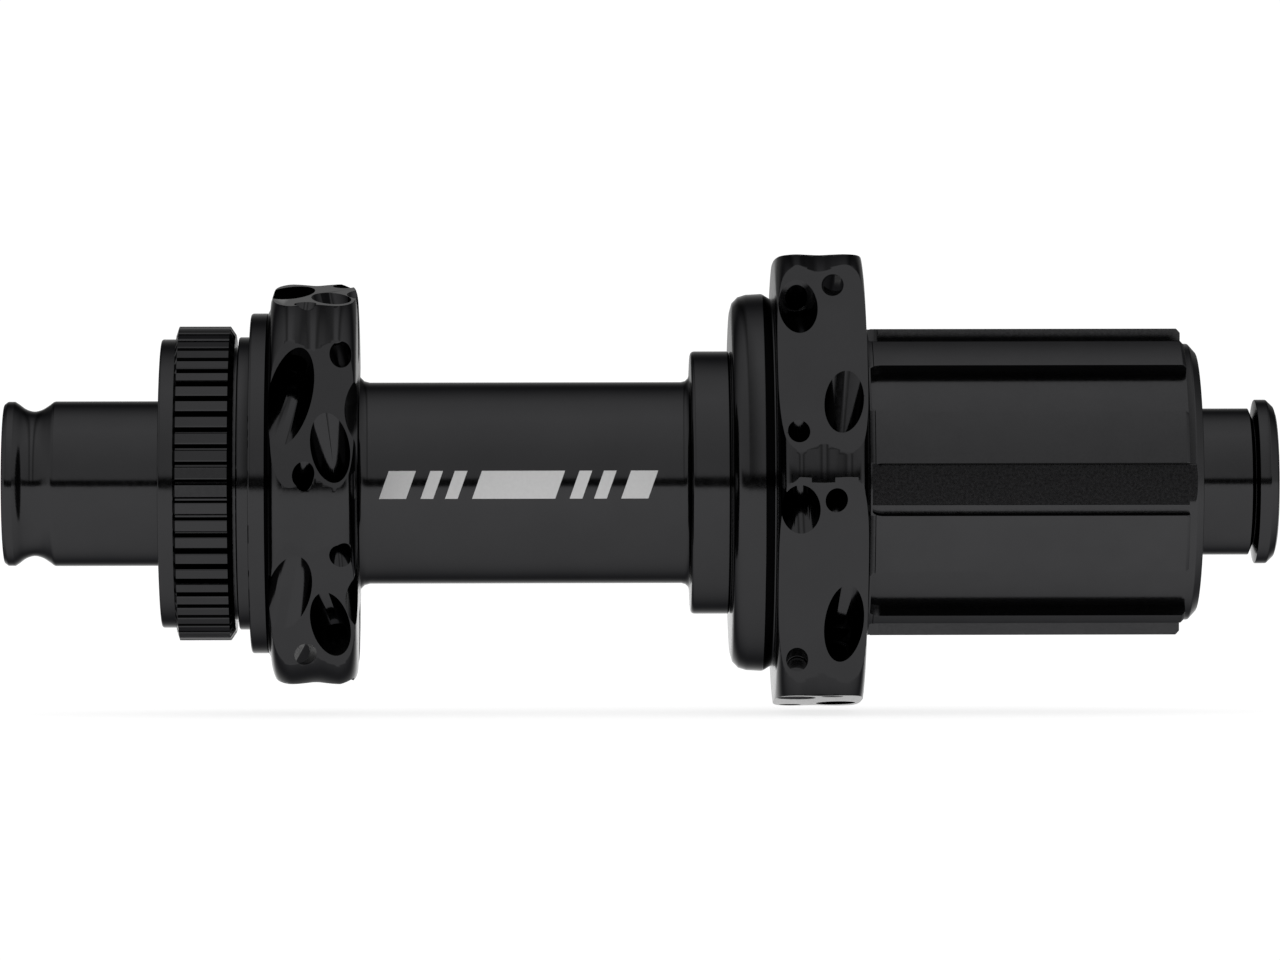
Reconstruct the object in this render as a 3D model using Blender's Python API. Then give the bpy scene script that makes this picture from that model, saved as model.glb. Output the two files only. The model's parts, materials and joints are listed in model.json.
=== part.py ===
"""Rear straight-pull hub assembly for a 142 mm frame, built around the X axis.

The axle lies along X with the brake-rotor side at -X and the sprocket side at +X.
The origin is on the axle's axis, halfway between the two frame faces.
Profiles are lists of (x, radius) points in millimetres that are turned about X.
"""
import math

import bmesh
import bpy
from mathutils import Matrix, Vector

MM = 0.001

# Driving dimensions, in millimetres
HUB_WIDTH = 142.0
FRAME_AXLE_R = 6.2
AXLE_R = 7.2
AXLE_MID_R = 8.8
RUNNING_GAP = 0.3

BEARING_OUTER_R = 12.0
BEARING_INNER_R = 7.5
BEARING_WIDTH = 5.0
RACE_WALL = 0.7
BALL_R = 1.3
BALL_PITCH_R = 9.75
BALL_COUNT = 7
SEAT_R = BEARING_OUTER_R + RUNNING_GAP
BEARING_X = {"left_bearing": -48.9, "middle_bearing": 8.7, "freehub_bearing": 28.2, "end_bearing": 57.6}

BARREL_R = 11.25
SHELL_BORE_R = 9.4
SHELL_LEFT = -53.4
SHELL_RIGHT = 24.7
RATCHET_CAVITY_R = 17.5
SEAL_SEAT_R = 18.3

ROTOR_SPLINE_X = (-51.7, -45.1)
ROTOR_SPLINE_ROOT_R = 16.65
ROTOR_SPLINE_TIP_R = 17.6
ROTOR_SPLINE_COUNT = 56
ROTOR_SPLINE_INNER_R = 14.0
SHOULDER_X = -43.4
SHOULDER_UNDERCUT = 0.3

SPOKE_PAIRS = 6
SPOKE_HOLE_R = 1.22
SPOKE_POCKET_R = 2.15
PAIR_PITCH = math.tau / SPOKE_PAIRS

# One entry for each flange: where its flats are, and the two spokes of its even and of its odd flats.
# A spoke is (side, hole x, pocket x, pocket t, pocket height, tilt along x, tool angle in degrees),
# where t runs along a flat, height is from the axis, and side is the end of the flat that the head is at.
LEFT_FLANGE = {
    "name": "left",
    "x": (-41.4, -31.4),
    "flat": 21.25,
    "first_flat": math.radians(20.8),
    "lean": math.radians(38.0),
    "hole_t": 7.05,
    "spokes": (((1, -37.25, -37.5, 7.7, 18.65, 1.9, 25.0), (-1, -33.2, -33.6, 8.0, 18.75, 1.3, 31.5)),
               ((1, -37.25, -37.5, 9.3, 17.9, 1.9, 28.0), (-1, -33.2, -33.6, 7.4, 18.75, 1.3, 28.0))),
}
RIGHT_FLANGE = {
    "name": "right",
    "x": (14.7, 24.7),
    "flat": 24.45,
    "first_flat": math.radians(34.0),
    "lean": math.radians(34.0),
    "hole_t": 9.75,
    "spokes": (((1, 17.0, 17.0, 10.8, 21.5, -0.5, 37.0), (-1, 21.1, 21.5, 10.5, 21.6, -1.0, 31.5)),
               ((1, 17.0, 17.0, 12.0, 20.9, -0.5, 46.7), (-1, 21.1, 21.5, 10.9, 21.6, -1.0, 27.0))),
}
SCALLOP_R = 6.0
SCALLOP_X = -26.7
SCALLOP_T = 0.5

FREEHUB_X = (25.0, 62.1)
FREEHUB_LAND_R = 17.15
FREEHUB_END_R = 15.45
FREEHUB_LAND_END = 60.4
FREEHUB_SKIRT_X = 17.0
FREEHUB_SKIRT_R = 16.6
FREEHUB_SOCKET_R = 14.3
VALLEY_START = 25.35
# Where each land starts and ends, in degrees from the front; the narrow one sets the sprockets' phase
LANDS = ((7.0, 27.0), (49.0, 65.6), (86.0, 108.0), (127.0, 147.0), (167.0, 187.0), (207.0, 227.0),
         (246.0, 267.5), (294.0, 300.1), (324.7, 347.4))

RATCHET_R = (10.5, 13.9)
RATCHET_TEETH = 24
RATCHET_TOOTH = 1.0
HUB_RATCHET_X = (11.8, 15.2)
DRIVE_RATCHET_X = (16.6, 20.6)
SPRING_X = (20.9, 24.9)
SPRING_R = 13.2
SPRING_WIRE_R = 0.42
SPRING_TURNS = 2.6

SHELL_STEPS = 40
RING_STEPS = 24
SMALL_STEPS = 20
TOOL_SIDES = 10
# The corners of a block's side, in order round it
BLOCK_SIDE = ((0, 0), (0, 1), (1, 1), (1, 0))


def clear_scene():
    for item in list(bpy.data.objects):
        bpy.data.objects.remove(item, do_unlink=True)


def make_material(name, colour, metallic, roughness):
    material = bpy.data.materials.new(name)
    material.use_nodes = True
    shader = material.node_tree.nodes["Principled BSDF"]
    shader.inputs["Base Color"].default_value = (*colour, 1.0)
    shader.inputs["Metallic"].default_value = metallic
    shader.inputs["Roughness"].default_value = roughness
    material.diffuse_color = (*colour, 1.0)
    return material


def hub_point(x, radius, angle):
    """A point at an angle from the front (-Y) towards the top (+Z)."""
    return Vector((x, -radius * math.cos(angle), radius * math.sin(angle))) * MM


def flat_point(x, t, height, normal_angle):
    """A point given along a flat (t) and out from the axis (height) of the flat at an angle."""
    out = Vector((0.0, -math.cos(normal_angle), math.sin(normal_angle)))
    along = Vector((0.0, math.sin(normal_angle), math.cos(normal_angle)))
    return (Vector((x, 0.0, 0.0)) + out * height + along * t) * MM


def link_mesh(name, bm, material, smooth_angle=35.0):
    """Closes a bmesh into a named object with outward faces and one material."""
    bmesh.ops.recalc_face_normals(bm, faces=bm.faces)
    mesh = bpy.data.meshes.new(name)
    bm.to_mesh(mesh)
    bm.free()
    item = bpy.data.objects.new(name, mesh)
    bpy.context.scene.collection.objects.link(item)
    if material:
        mesh.materials.append(material)
    mesh.shade_smooth()
    mesh.set_sharp_from_angle(angle=math.radians(smooth_angle))
    return item


def turned(name, profile, material, steps=RING_STEPS):
    """A ring of revolution: the closed profile of (x, radius) points spun about X."""
    bm = bmesh.new()
    loops = []
    for step in range(steps):
        angle = math.tau * step / steps
        loops.append([bm.verts.new(hub_point(x, radius, angle)) for x, radius in profile])
    count = len(profile)
    for step in range(steps):
        here = loops[step]
        after = loops[(step + 1) % steps]
        for index in range(count):
            following = (index + 1) % count
            bm.faces.new((here[index], here[following], after[following], after[index]))
    return link_mesh(name, bm, material)


def plain_ring(name, x_range, r_range, material, steps=SMALL_STEPS):
    left, right = x_range
    inner, outer = r_range
    profile = [(left, inner), (left, outer), (right, outer), (right, inner)]
    return turned(name, profile, material, steps)


def as_cutter(item, group):
    """Turns an object into a hidden tool of a Boolean's collection."""
    item.hide_render = True
    item.display_type = "WIRE"
    bpy.context.scene.collection.objects.unlink(item)
    group.objects.link(item)
    return item


def tool_group(name):
    group = bpy.data.collections.new(name)
    bpy.context.scene.collection.children.link(group)
    return group


def combine(item, group, operation):
    modifier = item.modifiers.new(group.name, "BOOLEAN")
    modifier.operand_type = "COLLECTION"
    modifier.collection = group
    modifier.operation = operation
    modifier.solver = "EXACT"
    return modifier


def round_tool(name, start, end, radius, group, sides=TOOL_SIDES):
    """A drill or end mill between two points."""
    axis = end - start
    bm = bmesh.new()
    bmesh.ops.create_cone(bm, cap_ends=True, segments=sides, radius1=radius * MM, radius2=radius * MM,
                          depth=axis.length)
    turn = axis.to_track_quat("Z", "Y").to_matrix().to_4x4()
    bmesh.ops.transform(bm, matrix=Matrix.Translation((start + end) / 2.0) @ turn, verts=bm.verts)
    return as_cutter(link_mesh(name, bm, None), group)


def block_tool(name, x_range, t_range, height_range, normal_angle, group):
    """A rectangular mill block placed on a flat's own axes."""
    bm = bmesh.new()
    corners = {}
    for i, x in enumerate(x_range):
        for j, t in enumerate(t_range):
            for k, height in enumerate(height_range):
                corners[i, j, k] = bm.verts.new(flat_point(x, t, height, normal_angle))
    for level in (0, 1):
        for side in ([(level, a, b) for a, b in BLOCK_SIDE], [(a, level, b) for a, b in BLOCK_SIDE],
                     [(a, b, level) for a, b in BLOCK_SIDE]):
            bm.faces.new([corners[key] for key in side])
    return as_cutter(link_mesh(name, bm, None), group)


def sector_tool(name, x_range, r_range, angles, group):
    """A sector of a ring between two angles, which mills a valley with a round floor."""
    bm = bmesh.new()
    first, last = angles
    count = 4
    corners = [(x_range[0], r_range[0]), (x_range[1], r_range[0]), (x_range[1], r_range[1]), (x_range[0], r_range[1])]
    loops = []
    for step in range(count + 1):
        angle = first + (last - first) * step / count
        loops.append([bm.verts.new(hub_point(x, radius, angle)) for x, radius in corners])
    for here, after in zip(loops, loops[1:]):
        for index in range(len(corners)):
            following = (index + 1) % len(corners)
            bm.faces.new((here[index], here[following], after[following], after[index]))
    bm.faces.new(loops[0])
    bm.faces.new(loops[-1])
    return as_cutter(link_mesh(name, bm, None), group)


def shell_profile():
    """Outer outline from left to right, then the stepped bore back to the left.

    The rotor's shoulder is undercut below the splines' tips, so that a splined rotor can lie on it.
    """
    undercut_x = SHOULDER_X + SHOULDER_UNDERCUT
    undercut_r = ROTOR_SPLINE_TIP_R + 0.15
    disc_r = 16.12
    neck_r = 16.35
    shoulder_r = 19.0
    rotor_end = [(SHELL_LEFT, disc_r - 0.4), (SHELL_LEFT + 0.4, disc_r), (ROTOR_SPLINE_X[0], disc_r),
                 (ROTOR_SPLINE_X[1], disc_r), (ROTOR_SPLINE_X[1], neck_r), (undercut_x, neck_r),
                 (undercut_x, undercut_r), (SHOULDER_X, undercut_r), (SHOULDER_X, shoulder_r - 0.3),
                 (SHOULDER_X + 0.3, shoulder_r), (-41.4, shoulder_r)]
    left_flange = [(-41.3, 19.6), (-41.1, 20.8), (-40.5, 22.1), (-39.2, 22.88), (-37.8, 22.8), (-36.2, 22.5),
                   (-34.7, 22.78), (-33.4, 22.92), (-32.2, 22.35), (-31.4, 21.2)]
    barrel = [(-31.4, 13.0), (-30.8, 11.7), (-29.6, BARREL_R), (3.9, BARREL_R), (5.1, 11.8), (5.6, 13.0),
              (5.7, 14.5), (5.95, 14.68), (9.9, 14.68)]
    ratchet_bulge = [(10.0, 18.5), (10.5, 19.9), (11.5, 20.7), (12.9, 21.0), (14.7, 21.1)]
    right_flange = [(14.75, 23.6), (15.0, 25.2), (15.6, 26.7), (17.0, 27.45), (18.3, 27.25), (19.7, 26.95),
                    (21.2, 27.3), (22.7, 27.5), (24.0, 26.85), (24.6, 25.3), (SHELL_RIGHT, 23.4)]
    bore = [(SHELL_RIGHT, SEAL_SEAT_R), (22.3, SEAL_SEAT_R), (22.3, RATCHET_CAVITY_R), (11.5, RATCHET_CAVITY_R),
            (11.5, SEAT_R), (5.9, SEAT_R), (5.9, SHELL_BORE_R), (-46.1, SHELL_BORE_R), (-46.1, SEAT_R),
            (SHELL_LEFT, SEAT_R)]
    return rotor_end + left_flange + barrel + ratchet_bulge + right_flange + bore


def rotor_splines(group):
    """The toothed ring that the brake rotor slides over."""
    bm = bmesh.new()
    outline = []
    pitch = math.tau / ROTOR_SPLINE_COUNT
    for tooth in range(ROTOR_SPLINE_COUNT):
        for offset, radius in ((0.0, ROTOR_SPLINE_ROOT_R), (0.22, ROTOR_SPLINE_TIP_R), (0.72, ROTOR_SPLINE_TIP_R)):
            outline.append((radius, pitch * (tooth + offset)))
    loops = []
    for x, inner in ((ROTOR_SPLINE_X[0], False), (ROTOR_SPLINE_X[1], False),
                     (ROTOR_SPLINE_X[1], True), (ROTOR_SPLINE_X[0], True)):
        loops.append([bm.verts.new(hub_point(x, ROTOR_SPLINE_INNER_R if inner else radius, angle))
                      for radius, angle in outline])
    for here, after in zip(loops, loops[1:] + loops[:1]):
        for index in range(len(outline)):
            following = (index + 1) % len(outline)
            bm.faces.new((here[index], here[following], after[following], after[index]))
    return as_cutter(link_mesh("rotor_spline_tool", bm, None), group)


def spoke_tools(flange, pair, spoke, group):
    """The head pocket in one flat and the hole that leads out through the next flat."""
    side, hole_x, pocket_x, pocket_t, pocket_height, tilt, tool_angle = spoke
    name = f"{flange['name']}_{pair}_{'front' if side > 0 else 'rear'}"
    here = flange["first_flat"] + pair * PAIR_PITCH
    following = here + side * PAIR_PITCH
    seat = flat_point(pocket_x, side * pocket_t, pocket_height, here)
    run = pocket_t + SPOKE_POCKET_R * 4.0
    rise = run * math.tan(math.radians(tool_angle))
    entry = flat_point(pocket_x - tilt * 2.0, side * (pocket_t - run), pocket_height + rise, here)
    round_tool(f"pocket_{name}", seat, entry, SPOKE_POCKET_R, group)
    exit_t = -side * flange["hole_t"]
    lean = flange["lean"]
    reach_out = 2.5
    reach_in = 8.6
    outer = flat_point(hole_x + tilt * 0.2, exit_t + side * reach_out * math.sin(lean),
                       flange["flat"] + reach_out * math.cos(lean), following)
    inner = flat_point(hole_x - tilt * 0.5, exit_t - side * reach_in * math.sin(lean),
                       flange["flat"] - reach_in * math.cos(lean), following)
    round_tool(f"spoke_hole_{name}", outer, inner, SPOKE_HOLE_R, group, 8)


def flange_tools(flange, group):
    """Six milled flats, each with a pair of crossing spokes."""
    margin = 1.0
    for pair in range(SPOKE_PAIRS):
        normal = flange["first_flat"] + pair * PAIR_PITCH
        half = flange["flat"] * math.tan(PAIR_PITCH / 2.0)
        x_range = (flange["x"][0] - margin, flange["x"][1] + margin)
        block_tool(f"flat_{flange['name']}_{pair}", x_range, (-half, half),
                   (flange["flat"], flange["flat"] + 8.0), normal, group)
        for spoke in flange["spokes"][pair % 2]:
            spoke_tools(flange, pair, spoke, group)


def scallop_tools(group):
    """A scoop beside each left flat, on the side of the barrel."""
    for pair in range(SPOKE_PAIRS):
        normal = LEFT_FLANGE["first_flat"] + pair * PAIR_PITCH
        low = flat_point(SCALLOP_X, SCALLOP_T, 15.0, normal)
        high = flat_point(SCALLOP_X, SCALLOP_T, 27.0, normal)
        round_tool(f"scallop_{pair}", low, high, SCALLOP_R, group, 14)


def build_shell(material):
    shell = turned("hub_shell", shell_profile(), material, SHELL_STEPS)
    splines = tool_group("rotor_splines")
    rotor_splines(splines)
    combine(shell, splines, "UNION")
    cuts = tool_group("flange_cuts")
    flange_tools(LEFT_FLANGE, cuts)
    flange_tools(RIGHT_FLANGE, cuts)
    scallop_tools(cuts)
    combine(shell, cuts, "DIFFERENCE")
    return shell


def build_freehub(material):
    """The sprocket carrier: a splined body with a socket for the ratchet at its inner end."""
    bore_r = 10.8
    outline = [(FREEHUB_SKIRT_X, FREEHUB_SOCKET_R), (FREEHUB_SKIRT_X, FREEHUB_SKIRT_R),
               (FREEHUB_X[0], FREEHUB_SKIRT_R), (FREEHUB_X[0], FREEHUB_LAND_R),
               (FREEHUB_LAND_END - 0.4, FREEHUB_LAND_R), (FREEHUB_LAND_END, FREEHUB_LAND_R - 0.4),
               (FREEHUB_LAND_END, FREEHUB_END_R), (61.4, FREEHUB_END_R), (FREEHUB_X[1], FREEHUB_END_R - 0.7)]
    bore = [(FREEHUB_X[1], SEAT_R), (54.8, SEAT_R), (54.8, bore_r), (31.0, bore_r), (31.0, SEAT_R),
            (25.2, SEAT_R), (25.2, FREEHUB_SOCKET_R)]
    body = turned("freehub_body", outline + bore, material, SHELL_STEPS)
    cuts = tool_group("freehub_valleys")
    following = (*LANDS[1:], (LANDS[0][0] + 360.0, None))
    for index, (land, after) in enumerate(zip(LANDS, following)):
        sector_tool(f"valley_{index}", (VALLEY_START, FREEHUB_X[1] + 1.0), (FREEHUB_END_R, FREEHUB_LAND_R + 1.5),
                    (math.radians(land[1]), math.radians(after[0])), cuts)
    combine(body, cuts, "DIFFERENCE")
    return body


def build_axle(material):
    """A hollow tube, thicker between the two hub bearings, with a groove for each seal ring."""
    half = 62.0
    groove = 0.45
    outline = [(-half, FRAME_AXLE_R), (-half, AXLE_R - 0.3), (-half + 0.3, AXLE_R), (-58.7, AXLE_R),
               (-58.7, AXLE_R - groove), (-57.3, AXLE_R - groove), (-57.3, AXLE_R), (-46.1, AXLE_R),
               (-46.1, AXLE_MID_R), (5.9, AXLE_MID_R), (5.9, AXLE_R), (61.0, AXLE_R), (61.0, AXLE_R - groove),
               (62.4, AXLE_R - groove), (62.4, AXLE_R), (63.7, AXLE_R), (64.0, AXLE_R - 0.3), (64.0, FRAME_AXLE_R)]
    return turned("axle", outline, material)


def build_left_cap(material):
    """The brake-side end cap, with a waisted nose that a frame's drop-out locates on."""
    left = -HUB_WIDTH / 2.0
    tube_r = 9.21
    waist_r = 8.08
    outline = [(left, FRAME_AXLE_R), (left, 8.8), (left + 0.4, 9.15), (left + 1.2, 9.15),
               (left + 2.3, waist_r + 0.3), (left + 3.3, waist_r), (left + 4.3, waist_r + 0.25), (left + 5.6, tube_r),
               (-52.1, tube_r), (-51.7, 8.9), (-51.7, BEARING_INNER_R), (-62.3, BEARING_INNER_R),
               (-62.3, FRAME_AXLE_R)]
    return turned("end_cap_left", outline, material)


def build_right_cap(material):
    """The drive-side end cap: a plain neck and a flange that the frame clamps."""
    right = HUB_WIDTH / 2.0
    neck_r = 8.19
    flange_r = 9.17
    groove_r = neck_r - 0.44
    outline = [(60.4, BEARING_INNER_R), (60.4, neck_r), (right - 3.0, neck_r), (right - 2.85, groove_r),
               (right - 2.2, groove_r), (right - 2.2, flange_r), (right - 0.9, flange_r),
               (right, flange_r - 0.9), (right, FRAME_AXLE_R), (64.3, FRAME_AXLE_R), (64.3, BEARING_INNER_R)]
    return turned("end_cap_right", outline, material)


def build_bearing(name, centre, open_side, steel, cage, shield):
    """A deep-groove bearing: two races, a caged set of balls and a shield on its open side."""
    half = BEARING_WIDTH / 2.0
    left = centre - half
    right = centre + half
    plain_ring(f"{name}_outer_race", (left, right), (BEARING_OUTER_R - RACE_WALL, BEARING_OUTER_R), steel)
    plain_ring(f"{name}_inner_race", (left, right), (BEARING_INNER_R, BEARING_INNER_R + RACE_WALL), steel)
    cage_half = 1.1
    cage_wall = 0.4
    ring = plain_ring(f"{name}_ball_cage", (centre - cage_half, centre + cage_half),
                      (BALL_PITCH_R - cage_wall, BALL_PITCH_R + cage_wall), cage)
    balls = tool_group(f"{name}_balls")
    for index in range(BALL_COUNT):
        bm = bmesh.new()
        bmesh.ops.create_icosphere(bm, subdivisions=1, radius=BALL_R * MM)
        place = hub_point(centre, BALL_PITCH_R, math.tau * (index + 0.13) / BALL_COUNT)
        bmesh.ops.translate(bm, verts=bm.verts, vec=place)
        as_cutter(link_mesh(f"{name}_ball_{index}", bm, None), balls)
    combine(ring, balls, "UNION")
    face = right - 0.5 if open_side > 0 else left + 0.1
    shield_r = (BEARING_INNER_R + RACE_WALL + RUNNING_GAP, BEARING_OUTER_R - RACE_WALL - RUNNING_GAP)
    plain_ring(f"{name}_shield", (face, face + 0.4), shield_r, shield)


def tooth_height(fraction):
    """Saw tooth: a long ramp and a steep driving face."""
    ramp = 0.86
    return fraction / ramp if fraction < ramp else (1.0 - fraction) / (1.0 - ramp)


def build_ratchet(name, back_x, tooth_x, back_rings, material):
    """A ring with face teeth, between a back plane and the toothed surface."""
    bm = bmesh.new()
    ramp_steps = (0.0, 0.86)
    angles = [(tooth + part) / RATCHET_TEETH for tooth in range(RATCHET_TEETH) for part in ramp_steps]
    inner, outer = RATCHET_R
    loops = []
    for turn in angles:
        rise = RATCHET_TOOTH * tooth_height((turn * RATCHET_TEETH) % 1.0)
        section = [(tooth_x + rise, inner), (tooth_x + rise, outer)]
        section += back_rings + [(back_x, inner)]
        loops.append([bm.verts.new(hub_point(x, radius, math.tau * turn)) for x, radius in section])
    count = len(loops[0])
    for here, after in zip(loops, loops[1:] + loops[:1]):
        for index in range(count):
            following = (index + 1) % count
            bm.faces.new((here[index], here[following], after[following], after[index]))
    return link_mesh(name, bm, material)


def build_ratchets(material):
    hub_back, hub_teeth = HUB_RATCHET_X
    rim_r = 17.2
    rim = [(hub_teeth - 0.4, RATCHET_R[1]), (hub_teeth - 0.4, rim_r), (hub_back, rim_r)]
    build_ratchet("hub_ratchet", hub_back, hub_teeth, rim, material)
    drive_teeth, drive_back = DRIVE_RATCHET_X
    build_ratchet("drive_ratchet", drive_back, drive_teeth, [(drive_back, RATCHET_R[1])], material)


def build_spring(material):
    """An open coil that presses the sliding ratchet towards the hub's ratchet."""
    curve = bpy.data.curves.new("ratchet_spring", "CURVE")
    curve.dimensions = "3D"
    curve.bevel_depth = SPRING_WIRE_R * MM
    curve.bevel_resolution = 1
    curve.use_fill_caps = True
    per_turn = 12
    count = int(SPRING_TURNS * per_turn) + 1
    spline = curve.splines.new("POLY")
    spline.points.add(count - 1)
    first = SPRING_X[0] + SPRING_WIRE_R
    last = SPRING_X[1] - SPRING_WIRE_R
    for index in range(count):
        x = first + (last - first) * index / (count - 1)
        spline.points[index].co = (*hub_point(x, SPRING_R, math.tau * index / per_turn), 1.0)
    curve.materials.append(material)
    item = bpy.data.objects.new("ratchet_spring", curve)
    bpy.context.scene.collection.objects.link(item)
    return item


def build_spacers(material):
    """Sleeves that carry the axle's clamping load from one inner race to the next."""
    sleeve_r = (BEARING_INNER_R, 8.9)
    half = BEARING_WIDTH / 2.0 + RUNNING_GAP
    for name, before, after in (("ratchet_spacer", "middle_bearing", "freehub_bearing"),
                                ("freehub_spacer", "freehub_bearing", "end_bearing")):
        plain_ring(name, (BEARING_X[before] + half, BEARING_X[after] - half), sleeve_r, material)


def build_seals(material):
    plain_ring("left_dust_seal", (-53.2, -51.7), (9.6, 12.0), material, RING_STEPS)
    plain_ring("freehub_end_seal", (60.4, 61.8), (8.6, 12.0), material, RING_STEPS)
    plain_ring("freehub_lip_seal", (22.6, 24.5), (16.9, 18.0), material, RING_STEPS)
    for name, centre in (("o_ring_left", -58.0), ("o_ring_right", 61.7)):
        outline = [(centre - 0.35, 7.0), (centre, 6.95), (centre + 0.35, 7.0), (centre + 0.35, 7.3),
                   (centre, 7.42), (centre - 0.35, 7.3)]
        turned(name, outline, material, SMALL_STEPS)


def main():
    clear_scene()
    black = make_material("black_anodised", (0.012, 0.012, 0.013), 0.9, 0.3)
    satin = make_material("satin_anodised", (0.016, 0.016, 0.017), 0.9, 0.38)
    steel = make_material("bearing_steel", (0.55, 0.55, 0.56), 1.0, 0.2)
    tool_steel = make_material("hardened_steel", (0.22, 0.22, 0.23), 1.0, 0.32)
    cage = make_material("ball_cage", (0.4, 0.4, 0.38), 0.8, 0.35)
    rubber = make_material("seal_rubber", (0.02, 0.02, 0.02), 0.0, 0.6)
    build_shell(black)
    build_freehub(satin)
    build_axle(black)
    build_left_cap(black)
    build_right_cap(black)
    for name, centre in BEARING_X.items():
        open_side = -1 if name == "left_bearing" else 1
        build_bearing(name, centre, open_side, steel, cage, rubber)
    build_ratchets(tool_steel)
    build_spring(steel)
    build_spacers(black)
    build_seals(rubber)


main()
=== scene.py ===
"""Finished look of a straight-pull bicycle rear hub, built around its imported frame.

The hub lies along X: the brake side is at -X, the sprocket side at +X, and the front is -Y.
Sizes are in metres, as Blender's own unit, and are worked out from the frame's boxes where it has them.
"""

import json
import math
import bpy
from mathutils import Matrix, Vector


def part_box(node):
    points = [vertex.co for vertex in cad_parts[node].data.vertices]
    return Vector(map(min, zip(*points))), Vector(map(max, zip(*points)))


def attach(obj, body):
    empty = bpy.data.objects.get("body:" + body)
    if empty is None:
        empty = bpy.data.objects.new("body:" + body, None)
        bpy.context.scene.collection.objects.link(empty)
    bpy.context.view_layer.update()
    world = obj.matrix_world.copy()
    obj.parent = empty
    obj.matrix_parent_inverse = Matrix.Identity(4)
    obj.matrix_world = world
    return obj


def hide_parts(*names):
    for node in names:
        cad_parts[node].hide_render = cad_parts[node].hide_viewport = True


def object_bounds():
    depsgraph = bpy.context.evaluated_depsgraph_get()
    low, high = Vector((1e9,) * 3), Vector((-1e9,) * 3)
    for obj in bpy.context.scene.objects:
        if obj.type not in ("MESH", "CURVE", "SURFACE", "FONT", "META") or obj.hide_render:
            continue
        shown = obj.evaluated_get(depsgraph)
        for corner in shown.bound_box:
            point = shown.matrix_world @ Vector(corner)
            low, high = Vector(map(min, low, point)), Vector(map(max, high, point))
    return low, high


bl_info = {
    "name": "Rear hub finish",
    "version": (1, 0, 0),
    "blender": (4, 5, 0),
    "location": "View3D > Sidebar > Rear hub",
    "description": "Builds the finished shell, freehub, end caps, seals and studio of a bicycle rear hub",
    "category": "Object",
}

import bpy
from mathutils import Matrix, Vector

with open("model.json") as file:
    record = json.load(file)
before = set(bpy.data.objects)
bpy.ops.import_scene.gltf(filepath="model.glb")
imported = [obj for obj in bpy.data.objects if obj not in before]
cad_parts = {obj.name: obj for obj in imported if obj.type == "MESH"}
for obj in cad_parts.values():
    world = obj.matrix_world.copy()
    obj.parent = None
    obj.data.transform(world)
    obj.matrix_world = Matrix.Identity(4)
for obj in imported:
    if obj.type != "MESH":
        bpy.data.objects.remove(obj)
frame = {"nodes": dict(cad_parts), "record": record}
CAD_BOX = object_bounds()
NODES = frame["nodes"]

MM = 0.001
PAIRS = 6
PAIR_PITCH = math.tau / PAIRS
SHELL_LOW, SHELL_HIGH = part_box("hub_shell")
FREEHUB_LOW, FREEHUB_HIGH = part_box("freehub_body")
LEFT_CAP_LOW, LEFT_CAP_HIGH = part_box("end_cap_left")
RIGHT_CAP_LOW, RIGHT_CAP_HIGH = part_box("end_cap_right")
AXLE_LOW, AXLE_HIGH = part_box("axle")


# ---------------------------------------------------------------- sizes and colours a user would change

def size(label, text, millimetres):
    return bpy.props.FloatProperty(name=label, description=text, default=millimetres * MM, min=0.0,
                                   subtype="DISTANCE", unit="LENGTH", precision=5)


def hex_colour(label, text, value):
    return bpy.props.StringProperty(name=label, description=text, default=value, maxlen=7)


class HubShellSizes(bpy.types.PropertyGroup):
    """Sizes of the one-piece hub shell."""

    barrel_radius: size("Barrel radius", "Outside radius of the slim tube between the flanges", 11.25)
    left_flat: size("Left flat", "Distance from the axis to the brake-side flats", 21.25)
    right_flat: size("Right flat", "Distance from the axis to the drive-side flats", 24.45)
    pocket_radius: size("Pocket radius", "Radius of the end mill that opens each spoke head pocket", 2.15)
    spoke_hole_radius: size("Spoke hole radius", "Radius of the drilled hole for each spoke", 1.22)
    edge_break: size("Edge break", "Width of the small bevel on milled edges", 0.12)


class FreehubSizes(bpy.types.PropertyGroup):
    """Sizes of the splined sprocket carrier."""

    land_radius: size("Land radius", "Outside radius over the raised lands", 17.15)
    root_radius: size("Root radius", "Radius of the round floor of each valley", 15.8)
    end_radius: size("End ring radius", "Outside radius of the plain ring past the lands", 15.45)
    corner: size("Valley corner", "Corner radius at the blind end of each valley", 1.3)


class FinishColours(bpy.types.PropertyGroup):
    """Colours of the finishes, as sRGB hex values."""

    gloss_black: hex_colour("Gloss anodising", "Bright black anodising of the shell and caps", "#363637")
    satin_black: hex_colour("Satin anodising", "Finely blasted black anodising of the freehub", "#3a3a3b")
    etched_grey: hex_colour("Etched mark", "Laser-etched bars on the barrel", "#c9c9c9")
    rubber: hex_colour("Rubber", "Nitrile seals", "#1b1b1b")
    steel: hex_colour("Bearing steel", "Ground bearing steel", "#c5c6c8")
    hardened: hex_colour("Hardened steel", "Nitrided ratchet steel", "#5c5b5e")
    floor: hex_colour("Floor", "Studio floor", "#a8a8a8")


# ---------------------------------------------------------------- materials

def linear(value):
    """An sRGB hex value as linear red, green, blue and alpha."""
    channels = [int(value[index:index + 2], 16) / 255.0 for index in (1, 3, 5)]
    return (*[c / 12.92 if c <= 0.04045 else ((c + 0.055) / 1.055) ** 2.4 for c in channels], 1.0)


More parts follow.
